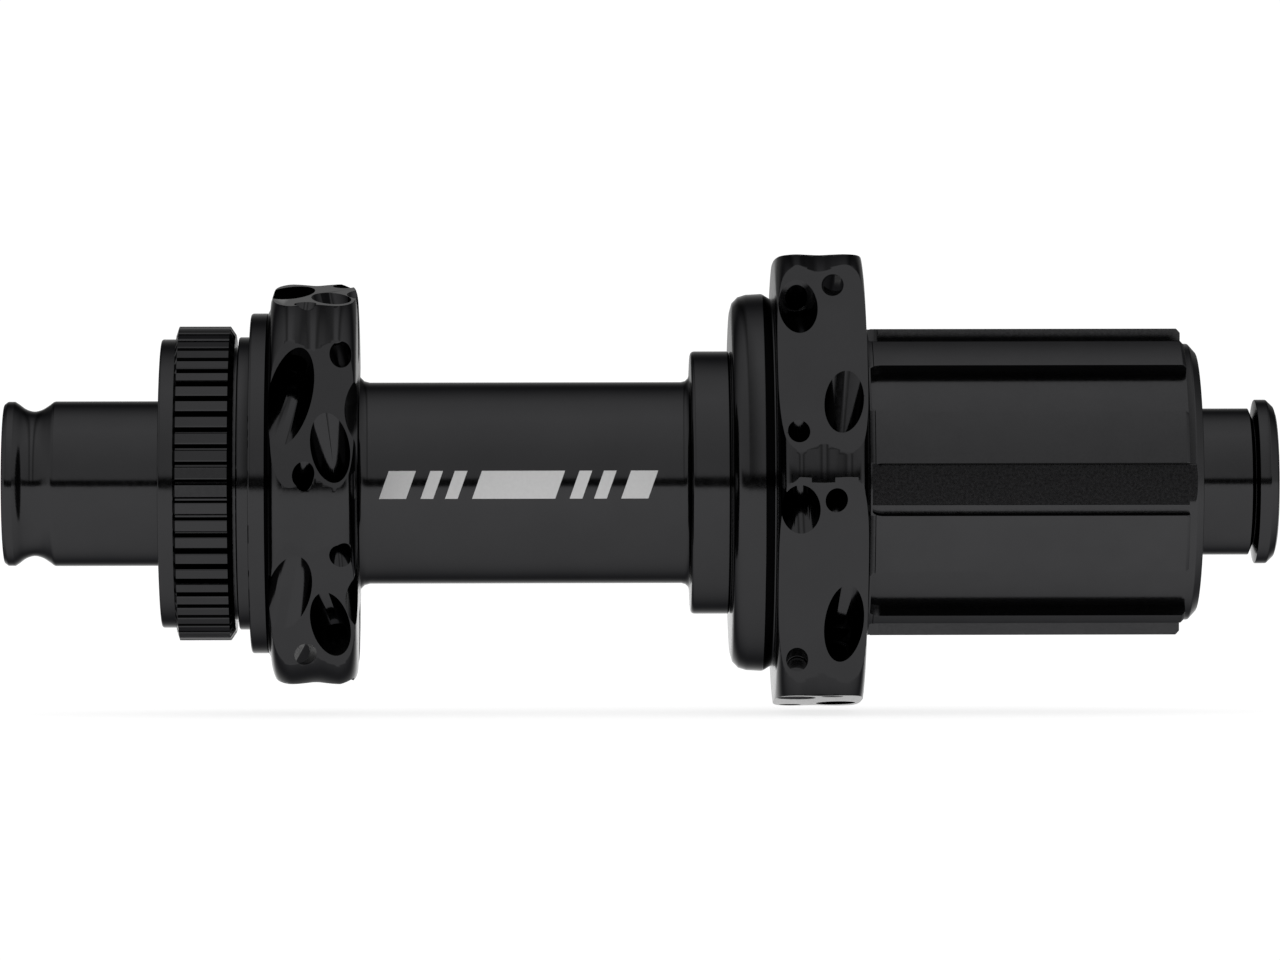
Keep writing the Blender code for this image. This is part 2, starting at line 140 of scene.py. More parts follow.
def add_node(tree, kind, settings=None, **inputs):
    """Adds a node, sets its own settings, and sets or links each input, named or numbered as i0, i1."""
    node = tree.nodes.new(kind)
    for key, value in (settings or {}).items():
        setattr(node, key, value)
    for key, value in inputs.items():
        numbered = key[0] == "i" and key[1:].isdigit()
        socket = node.inputs[int(key[1:]) if numbered else key.replace("_", " ")]
        if isinstance(value, bpy.types.NodeSocket):
            tree.links.new(value, socket)
        else:
            socket.default_value = value
    return node


def new_material(name):
    """An empty node material with a Principled shader, and its tree, shader and object coordinates."""
    material = bpy.data.materials.new(name)
    material.use_nodes = True
    tree = material.node_tree
    shader = tree.nodes["Principled BSDF"]
    coords = tree.nodes.new("ShaderNodeTexCoord").outputs["Object"]
    return material, tree, shader, coords


def blurred_spread(tree, source, low, high):
    """A noise value spread between two limits."""
    return add_node(tree, "ShaderNodeMapRange", None, Value=source, From_Min=0.3, From_Max=0.7,
                    To_Min=low, To_Max=high).outputs["Result"]


def colour_spread(tree, factor, value, share):
    """A colour that drifts between itself and a slightly lighter one."""
    dark = linear(value)
    light = tuple(min(1.0, c * (1.0 + share)) for c in dark[:3]) + (1.0,)
    mix = add_node(tree, "ShaderNodeMix", {"data_type": "RGBA"}, Factor=factor)
    mix.inputs[6].default_value = dark
    mix.inputs[7].default_value = light
    return mix.outputs[2]


def anodised(name, value, roughness, grain_mm, line_mm, depth_mm):
    """Black anodised aluminium: a dyed oxide film over turned metal.

    The film keeps the metal's sheen but swallows nearly all colour, at a low angle too, so it shows as a
    dark mirror with darker rims that is slightly uneven, with faint rings left by the lathe.
    """
    cloud_mm = grain_mm * 12.0
    edge_tint = 0.38
    material, tree, shader, coords = new_material(name)
    cloud = add_node(tree, "ShaderNodeTexNoise", None, Vector=coords, Scale=1.0 / (cloud_mm * MM), Detail=3.0)
    grain = add_node(tree, "ShaderNodeTexNoise", None, Vector=coords, Scale=1.0 / (grain_mm * MM), Detail=2.0)
    rings_at = add_node(tree, "ShaderNodeMapping", None, Vector=coords,
                        Scale=(1.0 / (line_mm * MM), 8.0, 8.0))
    rings = add_node(tree, "ShaderNodeTexNoise", None, Vector=rings_at.outputs["Vector"], Scale=1.0,
                     Detail=1.0)
    both = add_node(tree, "ShaderNodeMath", {"operation": "MULTIPLY_ADD"}, i0=rings.outputs["Fac"], i1=0.6,
                    i2=grain.outputs["Fac"])
    bump = add_node(tree, "ShaderNodeBump", None, Height=both.outputs[0], Strength=0.35,
                    Distance=depth_mm * MM)
    tree.links.new(colour_spread(tree, cloud.outputs["Fac"], value, 0.16), shader.inputs["Base Color"])
    tree.links.new(blurred_spread(tree, grain.outputs["Fac"], roughness * 0.85, roughness * 1.2),
                   shader.inputs["Roughness"])
    tree.links.new(bump.outputs["Normal"], shader.inputs["Normal"])
    shader.inputs["Metallic"].default_value = 1.0
    shader.inputs["Specular Tint"].default_value = (edge_tint, edge_tint, edge_tint, 1.0)
    return material


def etched_aluminium(name, value):
    """Laser-etched anodising: the dye is burnt off, which leaves dry, pale grey oxide with a fine raster."""
    material, tree, shader, coords = new_material(name)
    raster_mm = 0.12
    rows = add_node(tree, "ShaderNodeTexWave", {"bands_direction": "Z"}, Vector=coords,
                    Scale=math.tau / (20.0 * raster_mm * MM), Distortion=0.4)
    speck = add_node(tree, "ShaderNodeTexNoise", None, Vector=coords, Scale=1.0 / (0.3 * MM), Detail=2.0)
    tree.links.new(colour_spread(tree, speck.outputs["Fac"], value, 0.12), shader.inputs["Base Color"])
    bump = add_node(tree, "ShaderNodeBump", None, Height=rows.outputs["Fac"], Strength=0.2,
                    Distance=0.004 * MM)
    tree.links.new(bump.outputs["Normal"], shader.inputs["Normal"])
    shader.inputs["Roughness"].default_value = 0.62
    return material


def rubber(name, value):
    """Moulded nitrile rubber: a soft, dry black with a faint bloom."""
    material, tree, shader, coords = new_material(name)
    bloom = add_node(tree, "ShaderNodeTexNoise", None, Vector=coords, Scale=1.0 / (1.5 * MM), Detail=4.0)
    pores = add_node(tree, "ShaderNodeTexNoise", None, Vector=coords, Scale=1.0 / (0.15 * MM), Detail=2.0)
    tree.links.new(colour_spread(tree, bloom.outputs["Fac"], value, 0.5), shader.inputs["Base Color"])
    tree.links.new(blurred_spread(tree, bloom.outputs["Fac"], 0.5, 0.72), shader.inputs["Roughness"])
    bump = add_node(tree, "ShaderNodeBump", None, Height=pores.outputs["Fac"], Strength=0.3,
                    Distance=0.01 * MM)
    tree.links.new(bump.outputs["Normal"], shader.inputs["Normal"])
    return material


def ground_steel(name, value, roughness, line_mm):
    """Ground or nitrided steel: a bright or grey metal with fine rings round the axis."""
    material, tree, shader, coords = new_material(name)
    lines_at = add_node(tree, "ShaderNodeMapping", None, Vector=coords,
                        Scale=(1.0 / (line_mm * MM), 60.0, 60.0))
    lines = add_node(tree, "ShaderNodeTexNoise", None, Vector=lines_at.outputs["Vector"], Scale=1.0,
                     Detail=3.0)
    stain = add_node(tree, "ShaderNodeTexNoise", None, Vector=coords, Scale=1.0 / (4.0 * MM), Detail=4.0)
    tree.links.new(colour_spread(tree, stain.outputs["Fac"], value, 0.14), shader.inputs["Base Color"])
    tree.links.new(blurred_spread(tree, lines.outputs["Fac"], roughness * 0.8, roughness * 1.3),
                   shader.inputs["Roughness"])
    bump = add_node(tree, "ShaderNodeBump", None, Height=lines.outputs["Fac"], Strength=0.25,
                    Distance=0.006 * MM)
    tree.links.new(bump.outputs["Normal"], shader.inputs["Normal"])
    shader.inputs["Metallic"].default_value = 1.0
    return material


def studio_floor(name, value):
    """Matt pale paper, lit from behind as on a light table, so that it stays white."""
    material, tree, shader, coords = new_material(name)
    fibre = add_node(tree, "ShaderNodeTexNoise", None, Vector=coords, Scale=40.0, Detail=3.0)
    tree.links.new(colour_spread(tree, fibre.outputs["Fac"], value, 0.02), shader.inputs["Base Color"])
    shader.inputs["Roughness"].default_value = 0.9
    shader.inputs["Emission Color"].default_value = (1.0, 1.0, 1.0, 1.0)
    shader.inputs["Emission Strength"].default_value = 0.8
    return material


def finish(name):
    """The named finish, made the first time that it is asked for."""
    found = bpy.data.materials.get(name)
    if found:
        return found
    colours = bpy.context.scene.hub_colours
    makers = {
        "gloss_black_anodising": lambda: anodised(name, colours.gloss_black, 0.12, 0.5, 0.16, 0.003),
        "satin_black_anodising": lambda: anodised(name, colours.satin_black, 0.19, 0.3, 0.2, 0.004),
        "etched_mark": lambda: etched_aluminium(name, colours.etched_grey),
        "nitrile_rubber": lambda: rubber(name, colours.rubber),
        "bearing_steel_ground": lambda: ground_steel(name, colours.steel, 0.16, 0.12),
        "ratchet_steel_nitrided": lambda: ground_steel(name, colours.hardened, 0.3, 0.25),
        "studio_paper": lambda: studio_floor(name, colours.floor),
    }
    return makers[name]()


# ---------------------------------------------------------------- mesh helpers

def hub_point(x, radius, angle):
    """A point at an angle from the front (-Y) towards the top (+Z)."""
    return Vector((x, -radius * math.cos(angle), radius * math.sin(angle)))


def flat_axes(angle):
    """The outward and along-the-flat directions of a flat at an angle."""
    out = Vector((0.0, -math.cos(angle), math.sin(angle)))
    along = Vector((0.0, math.sin(angle), math.cos(angle)))
    return out, along


def flat_point(x, t, height, angle):
    out, along = flat_axes(angle)
    return Vector((x, 0.0, 0.0)) + out * height + along * t


def deselect():
    if bpy.context.object and bpy.context.object.mode != "OBJECT":
        bpy.ops.object.mode_set(mode="OBJECT")
    bpy.ops.object.select_all(action="DESELECT")


def make_active(piece):
    deselect()
    piece.select_set(True)
    bpy.context.view_layer.objects.active = piece


def rounded(corners, steps=5):
    """An outline whose corners (x, radius, fillet) in millimetres are turned into arcs."""
    outline = []
    count = len(corners)
    for index, (x, radius, fillet) in enumerate(corners):
        here = Vector((x, radius))
        if fillet <= 0.0:
            outline.append(here * MM)
            continue
        before = Vector(corners[index - 1][:2]) - here
        after = Vector(corners[(index + 1) % count][:2]) - here
        half = before.angle(after) / 2.0
        reach = min(fillet / math.tan(half), before.length * 0.49, after.length * 0.49)
        arc_radius = reach * math.tan(half)
        inward = (before.normalized() + after.normalized()).normalized()
        centre = here + inward * (arc_radius / math.sin(half))
        first = here + before.normalized() * reach - centre
        last = here + after.normalized() * reach - centre
        sweep = first.angle(last)
        for step in range(steps + 1):
            share = step / steps
            mixed = first * math.sin((1.0 - share) * sweep) + last * math.sin(share * sweep)
            outline.append((centre + mixed / math.sin(sweep)) * MM)
    return outline


def smooth(knots, steps=4):
    """Corners along an even curve through (x, radius) knots, ready for rounded()."""
    ends = [knots[0], *knots, knots[-1]]
    curve = []
    for index in range(1, len(ends) - 2):
        p0, p1, p2, p3 = (Vector(point) for point in ends[index - 1:index + 3])
        for step in range(steps):
            u = step / steps
            point = 0.5 * (2.0 * p1 + (p2 - p0) * u + (2.0 * p0 - 5.0 * p1 + 4.0 * p2 - p3) * u ** 2
                           + (3.0 * p1 - p0 - 3.0 * p2 + p3) * u ** 3)
            curve.append((point.x, point.y, 0.0))
    return curve + [(*knots[-1], 0.0)]


def draw_outline(name, points):
    """A chain of edges extruded point by point from the first vertex of a plane."""
    deselect()
    bpy.ops.mesh.primitive_plane_add(size=1.0 * MM, location=points[0])
    piece = bpy.context.object
    piece.name = name
    bpy.ops.object.mode_set(mode="EDIT")
    bpy.ops.mesh.select_mode(type="VERT")
    bpy.ops.mesh.select_all(action="SELECT")
    bpy.ops.mesh.merge(type="CENTER")
    for here, after in zip(points, points[1:]):
        bpy.ops.mesh.extrude_region_move(TRANSFORM_OT_translate={"value": after - here})
    bpy.ops.object.mode_set(mode="OBJECT")
    bpy.ops.object.transform_apply(location=True, rotation=True, scale=True)
    return piece


def turn(name, outline, steps=192, closed=True):
    """Spins an outline of (x, radius) points once about X into a closed ring."""
    points = [hub_point(p.x, p.y, 0.0) for p in outline]
    if closed:
        points.append(points[0].copy())
    piece = draw_outline(name, points)
    bpy.ops.object.mode_set(mode="EDIT")
    bpy.ops.mesh.select_all(action="SELECT")
    bpy.ops.mesh.spin(steps=steps, angle=math.tau, center=(0.0, 0.0, 0.0), axis=(1.0, 0.0, 0.0))
    bpy.ops.mesh.select_all(action="SELECT")
    bpy.ops.mesh.remove_doubles(threshold=0.002 * MM)
    bpy.ops.mesh.normals_make_consistent(inside=False)
    bpy.ops.object.mode_set(mode="OBJECT")
    return piece


def tool_between(name, start, end, radius, sides):
    """A round cutting tool from one point to another."""
    deselect()
    axis = end - start
    bpy.ops.mesh.primitive_cylinder_add(vertices=sides, radius=radius, depth=axis.length,
                                        location=(start + end) / 2.0,
                                        rotation=axis.to_track_quat("Z", "Y").to_euler())
    tool = bpy.context.object
    tool.name = name
    return tool


def cut(piece, tools, operation="DIFFERENCE"):
    """Applies one exact Boolean with all the tools, and removes them."""
    group = bpy.data.collections.new("tools")
    bpy.context.scene.collection.children.link(group)
    for tool in tools:
        group.objects.link(tool)
    make_active(piece)
    modifier = piece.modifiers.new("cut", "BOOLEAN")
    modifier.operand_type = "COLLECTION"
    modifier.collection = group
    modifier.operation = operation
    modifier.solver = "EXACT"
    bpy.ops.object.modifier_apply(modifier=modifier.name)
    for tool in tools:
        bpy.data.objects.remove(tool, do_unlink=True)
    bpy.data.collections.remove(group)


def break_edges(piece, width, angle_deg=32.0, segments=2):
    """A small bevel along the sharp edges, as deburring leaves."""
    make_active(piece)
    modifier = piece.modifiers.new("edge_break", "BEVEL")
    modifier.width = width
    modifier.segments = segments
    modifier.limit_method = "ANGLE"
    modifier.angle_limit = math.radians(angle_deg)
    modifier.use_clamp_overlap = True
    modifier.harden_normals = False
    bpy.ops.object.modifier_apply(modifier=modifier.name)


def dress(piece, body, material, slot, *stands_for, smooth_deg=30.0):
    """Smooths a finished piece, gives it its finish and fixes it to its body."""
    make_active(piece)
    bpy.ops.object.transform_apply(location=True, rotation=True, scale=True)
    bpy.ops.object.shade_smooth_by_angle(angle=math.radians(smooth_deg))
    modifier = piece.modifiers.new("flat_faces_first", "WEIGHTED_NORMAL")
    modifier.keep_sharp = True
    bpy.ops.object.modifier_apply(modifier=modifier.name)
    piece.data.materials.clear()
    piece.data.materials.append(finish(material))
    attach(piece, body)
    if stands_for:
        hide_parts(*stands_for)
    return piece


# ---------------------------------------------------------------- hub shell

def shell_outline():
    """The shell's section, in millimetres, from the brake side to the drive side and back along the bore."""
    barrel = bpy.context.scene.hub_shell.barrel_radius / MM
    left = SHELL_LOW.x / MM
    right = SHELL_HIGH.x / MM
    rotor_end = [(left, 12.3, 0.1), (left, 16.12, 0.25), (-51.65, 16.12, 0.1), (-51.65, 15.2, 0.1),
                 (-44.75, 15.2, 0.1), (-44.75, 16.35, 0.2), (-43.1, 16.35, 0.1), (-43.1, 17.7, 0.1),
                 (-43.4, 17.7, 0.05), (-43.4, 19.0, 0.3), (-41.55, 19.0, 0.2)]
    left_flange = smooth([(-41.55, 18.9), (-41.2, 19.6), (-41.05, 20.8), (-40.5, 22.1), (-39.2, 22.88),
                          (-37.8, 22.8), (-36.2, 22.5), (-34.7, 22.78), (-33.4, 22.92), (-32.2, 22.35),
                          (-31.6, 21.2), (-31.45, 19.6)])
    barrel_part = [(-31.4, 17.0, 0.2), (-31.4, barrel, 1.2), (5.45, barrel, 0.9), (5.6, 14.68, 0.45),
                   (9.85, 14.68, 0.35), (9.95, 14.3, 0.1)]
    bulge = [(10.05, 20.9, 2.3), (13.6, 21.1, 0.6), (14.7, 20.4, 0.2)]
    right_flange = smooth([(14.75, 21.5), (14.8, 23.6), (14.95, 25.2), (15.6, 26.7), (17.0, 27.4),
                           (18.3, 27.2), (19.7, 26.95), (21.2, 27.25), (22.7, 27.44), (24.0, 26.85),
                           (24.6, 25.3), (right, 23.4)])
    bore = [(right, 18.3, 0.2), (22.3, 18.3, 0.1), (22.3, 17.5, 0.1), (11.5, 17.5, 0.3), (11.5, 12.3, 0.1),
            (5.9, 12.3, 0.1), (5.9, 9.4, 0.1), (-46.1, 9.4, 0.1), (-46.1, 12.3, 0.1)]
    return rounded(rotor_end + left_flange + barrel_part + bulge + right_flange + bore, steps=3)


def flange_plans():
    """Each flange's flats, and the two crossing spokes of its even and odd flats.

    A spoke is (side, hole x, pocket x, pocket t, height, tilt, angle, pocket radius): t runs along the
    flat, and side is the end of the flat that the spoke's head is at.
    """
    sizes = bpy.context.scene.hub_shell
    small = sizes.pocket_radius / MM
    large = small + 0.3
    left = {"x": (-42.4, -30.4), "flat": sizes.left_flat, "first": math.radians(20.8),
            "lean": math.radians(38.0), "hole_t": 7.05,
            "spokes": [[(1, -37.25, -37.5, 7.7, 18.65, 1.9, 25.0, large),
                        (-1, -33.2, -33.6, 8.0, 18.75, 1.3, 31.5, small)],
                       [(1, -37.25, -37.5, 8.7, 17.6, 1.9, 28.0, large),
                        (-1, -33.2, -33.6, 7.4, 18.75, 1.3, 28.0, small)]]}
    right = {"x": (13.6, 25.7), "flat": sizes.right_flat, "first": math.radians(34.0),
             "lean": math.radians(34.0), "hole_t": 9.75,
             "spokes": [[(1, 17.0, 17.0, 10.8, 21.5, -0.5, 37.0, small),
                         (-1, 21.1, 21.5, 10.5, 21.6, -1.0, 31.5, small)],
                        [(1, 17.0, 17.0, 12.0, 20.9, -0.5, 46.7, small),
                         (-1, 21.1, 21.5, 10.9, 21.6, -1.0, 27.0, small)]]}
    return left, right


def flat_tool(plan, normal):
    """A block whose lower face mills one flat."""
    depth = 8.0 * MM
    left, right = (x * MM for x in plan["x"])
    width = 2.0 * plan["flat"] * math.tan(PAIR_PITCH / 2.0)
    centre = flat_point((left + right) / 2.0, 0.0, plan["flat"] + depth / 2.0, normal)
    deselect()
    bpy.ops.mesh.primitive_cube_add(size=1.0, location=centre)
    tool = bpy.context.object
    out, along = flat_axes(normal)
    tool.rotation_euler = Matrix((Vector((1.0, 0.0, 0.0)), along, out)).transposed().to_euler()
    tool.scale = (right - left, width, depth)
    return tool


def spoke_tools(plan, normal, spoke):
    """The end mill of a head pocket, and the drill whose hole comes out through the next flat."""
    sizes = bpy.context.scene.hub_shell
    side, hole_x, pocket_x, pocket_t, height, tilt, angle, pocket_radius = spoke
    pocket_radius *= MM
    seat = flat_point(pocket_x * MM, side * pocket_t * MM, height * MM, normal)
    run = pocket_t * MM + 4.0 * pocket_radius
    entry = flat_point((pocket_x - 2.0 * tilt) * MM, side * (pocket_t * MM - run),
                       height * MM + run * math.tan(math.radians(angle)), normal)
    mill = tool_between("pocket_mill", seat, entry, pocket_radius, 48)
    lean = plan["lean"]
    exit_normal = normal + side * PAIR_PITCH
    exit_t = -side * plan["hole_t"] * MM
    reach_out = 2.5 * MM
    reach_in = 8.6 * MM
    outer = flat_point((hole_x + 0.2 * tilt) * MM, exit_t + side * reach_out * math.sin(lean),
                       plan["flat"] + reach_out * math.cos(lean), exit_normal)
    inner = flat_point((hole_x - 0.5 * tilt) * MM, exit_t - side * reach_in * math.sin(lean),
                       plan["flat"] - reach_in * math.cos(lean), exit_normal)
    drill = tool_between("spoke_drill", outer, inner, sizes.spoke_hole_radius, 32)
    return [mill, drill]


def scallop_tool(normal):
    """The scoop that lightens a brake-side flat, next to the barrel."""
    x, t, low, high, radius = -26.7 * MM, 0.5 * MM, 14.0 * MM, 27.0 * MM, 6.0 * MM
    return tool_between("scallop_mill", flat_point(x, t, low, normal), flat_point(x, t, high, normal),
                        radius, 96)


class HUB_OT_shell(bpy.types.Operator):
    """Turn, mill and drill the one-piece hub shell"""

    bl_idname = "hub.shell"
    bl_label = "Hub shell"

    def execute(self, context):
        turning_steps = 288
        shell = turn("hub_shell_machined", shell_outline(), turning_steps)
        left, right = flange_plans()
        flats = []
        tools = []
        for plan in (left, right):
            for pair in range(PAIRS):
                normal = plan["first"] + pair * PAIR_PITCH
                flats.append(flat_tool(plan, normal))
                for spoke in plan["spokes"][pair % 2]:
                    tools += spoke_tools(plan, normal, spoke)
        tools += [scallop_tool(left["first"] + pair * PAIR_PITCH) for pair in range(PAIRS)]
        cut(shell, flats)
        cut(shell, tools)
        break_edges(shell, context.scene.hub_shell.edge_break)
        dress(shell, "hub_body", "gloss_black_anodising", "black_anodised", "hub_shell")
        return {"FINISHED"}


class HUB_OT_rotor_ring(bpy.types.Operator):
    """Cut the toothed ring that the brake rotor slides on"""

    bl_idname = "hub.rotor_ring"
    bl_label = "Rotor spline ring"

    def execute(self, context):
        teeth = 56
        pitch = math.tau / teeth
        left, right = -51.7 * MM, -45.1 * MM
        tip, root, bore = 17.55 * MM, 16.6 * MM, 15.25 * MM
        corners = ((0.0, root), (0.1, root), (0.24, tip - 0.1 * MM), (0.3, tip), (0.84, tip),
                   (0.9, tip - 0.1 * MM), (1.0, root))
        points = [hub_point(left, radius, pitch * share) for share, radius in corners]
        ring = draw_outline("rotor_spline_ring", points)
        bpy.ops.object.mode_set(mode="EDIT")
        bpy.ops.mesh.select_all(action="SELECT")
        bpy.ops.mesh.spin(steps=teeth, dupli=True, angle=-math.tau, center=(0.0, 0.0, 0.0),
                          axis=(1.0, 0.0, 0.0))
        bpy.ops.mesh.select_all(action="SELECT")
        bpy.ops.mesh.remove_doubles(threshold=0.005 * MM)
        squeeze = 16.6 / 17.5
        left_chamfer, right_chamfer = 0.3 * MM, 0.6 * MM
        self.step_in(squeeze)
        self.step_along(left_chamfer, 1.0 / squeeze)
        self.step_along(right - left - left_chamfer - right_chamfer, 1.0)
        self.step_along(right_chamfer, squeeze)
        bpy.ops.object.mode_set(mode="OBJECT")
        self.close_bore(ring, bore)
        dress(ring, "hub_body", "gloss_black_anodising", "black_anodised", smooth_deg=20.0)
        return {"FINISHED"}

    def step_in(self, scale):
        """Shrinks the drawn outline towards the axis."""
        bpy.ops.transform.resize(value=(1.0, scale, scale), center_override=(0.0, 0.0, 0.0))

    def step_along(self, shift, scale):
        """Extrudes the outline along the axis and scales the new end about the axis."""
        bpy.ops.mesh.extrude_region_move(TRANSFORM_OT_translate={"value": (shift, 0.0, 0.0)})
        bpy.ops.transform.resize(value=(1.0, scale, scale), center_override=(0.0, 0.0, 0.0))

    def close_bore(self, ring, bore):
        """Fills both ends and drills the middle out."""
        make_active(ring)
        bpy.ops.object.mode_set(mode="EDIT")
        bpy.ops.mesh.select_all(action="DESELECT")
        bpy.ops.mesh.select_non_manifold(extend=False)
        bpy.ops.mesh.edge_face_add()
        bpy.ops.mesh.select_all(action="SELECT")
        bpy.ops.mesh.normals_make_consistent(inside=False)
        bpy.ops.object.mode_set(mode="OBJECT")
        drill = tool_between("ring_drill", Vector((-60.0 * MM, 0.0, 0.0)), Vector((-40.0 * MM, 0.0, 0.0)),
                             bore, 128)
        cut(ring, [drill])


# ---------------------------------------------------------------- freehub

# Where each land starts and ends, in degrees from the front; the narrow one sets the sprockets' phase
LANDS = ((7.0, 27.0), (49.0, 65.6), (86.0, 108.0), (127.0, 147.0), (167.0, 187.0), (207.0, 227.0),
         (246.0, 267.5), (294.0, 300.1), (324.7, 347.4))
BLIND_END = 8.35 * MM
RUN_OUT = 2.0 * MM


def valley_tool(start_deg, end_deg):
    """A sector of a ring that mills one valley: round floor, square walls, a blind end with round corners."""
    sizes = bpy.context.scene.hub_freehub
    left = FREEHUB_LOW.x + BLIND_END
    right = FREEHUB_HIGH.x + RUN_OUT
    root = sizes.root_radius
    top = sizes.land_radius + 1.5 * MM
    first, sweep = math.radians(start_deg), math.radians(end_deg - start_deg)
    section = ((left, root), (right, root), (right, top), (left, top))
    corners = [hub_point(x, radius, first) for x, radius in section]
    tool = draw_outline("valley_mill", [*corners, corners[0].copy()])
    bpy.ops.object.mode_set(mode="EDIT")
    bpy.ops.mesh.select_all(action="SELECT")
    bpy.ops.mesh.remove_doubles(threshold=0.002 * MM)
    bpy.ops.mesh.edge_face_add()
    bpy.ops.mesh.spin(steps=12, angle=sweep, center=(0.0, 0.0, 0.0), axis=(1.0, 0.0, 0.0))
    bpy.ops.mesh.select_all(action="SELECT")
    bpy.ops.mesh.normals_make_consistent(inside=False)
    bpy.ops.object.mode_set(mode="OBJECT")

    def turn_of(point):
        return math.atan2(point.z, -point.y)

    def at_wall(a, b):
        middle = turn_of((a + b) / 2.0)
        return any(abs(math.remainder(middle - wall, math.tau)) < 1e-4 for wall in (first, first + sweep))

    select_edges(tool, lambda a, b: at_wall(a, b) and max(a.x, b.x) < left + 1e-6
                 and abs(a.yz.length - b.yz.length) > 1e-3 and min(a.yz.length, b.yz.length) < root + 1e-5)
    bpy.ops.object.mode_set(mode="EDIT")
    bpy.ops.mesh.bevel(offset=sizes.corner, segments=6)
    bpy.ops.object.mode_set(mode="OBJECT")
    return tool


def face_mill():
    """A block that takes a shallow flat off the floor of the front valley, out through the end ring."""
    left = FREEHUB_LOW.x + BLIND_END
    right = FREEHUB_HIGH.x + RUN_OUT
    floor, half_width, depth, shift = 15.32 * MM, 2.2 * MM, 3.0 * MM, -0.28 * MM
    normal = math.radians(-0.2)
    deselect()
    middle = flat_point((left + right) / 2.0, shift, floor + depth / 2.0, normal)
    bpy.ops.mesh.primitive_cube_add(size=1.0, location=middle)
    tool = bpy.context.object
    out, along = flat_axes(normal)
    tool.rotation_euler = Matrix((Vector((1.0, 0.0, 0.0)), along, out)).transposed().to_euler()
    tool.scale = (right - left, 2.0 * half_width, depth)
    return tool


def select_edges(piece, test):
    """Selects the edges whose two ends pass a test."""
    make_active(piece)
    bpy.ops.object.mode_set(mode="EDIT")
    bpy.ops.mesh.select_mode(type="EDGE")
    bpy.ops.mesh.select_all(action="DESELECT")
    bpy.ops.object.mode_set(mode="OBJECT")
    vertices = piece.data.vertices
    for edge in piece.data.edges:
        edge.select = test(vertices[edge.vertices[0]].co, vertices[edge.vertices[1]].co)


class HUB_OT_freehub(bpy.types.Operator):
    """Turn the sprocket carrier and mill its valleys"""

    bl_idname = "hub.freehub"
    bl_label = "Freehub body"

    def execute(self, context):
        land = context.scene.hub_freehub.land_radius / MM
        left = FREEHUB_LOW.x / MM
        right = FREEHUB_HIGH.x / MM
        ring = context.scene.hub_freehub.end_radius / MM
        corners = [(left, 14.3, 0.1), (left, 16.6, 0.2), (25.0, 16.6, 0.1), (25.0, land - 0.05, 0.15),
                   (25.7, land - 0.05, 0.05), (25.75, land, 0.05), (60.0, land, 0.12),
                   (60.4, land - 0.45, 0.1), (60.4, ring, 0.05), (61.2, ring, 0.3), (right, ring - 1.0, 0.3),
                   (right, 12.3, 0.15), (54.8, 12.3, 0.1), (54.8, 10.8, 0.1), (31.0, 10.8, 0.1),
                   (31.0, 12.3, 0.1), (25.2, 12.3, 0.1), (25.2, 14.3, 0.1)]
        body = turn("freehub_machined", rounded(corners, steps=4), 144)
        gaps = zip(LANDS, (*LANDS[1:], (LANDS[0][0] + 360.0, 0.0)))
        cut(body, [valley_tool(here[1], after[0]) for here, after in gaps])
        cut(body, [face_mill()])
        break_edges(body, 0.09 * MM)
        dress(body, "freehub", "satin_black_anodising", "satin_anodised", "freehub_body")
        return {"FINISHED"}


# ---------------------------------------------------------------- end caps, axle and seals

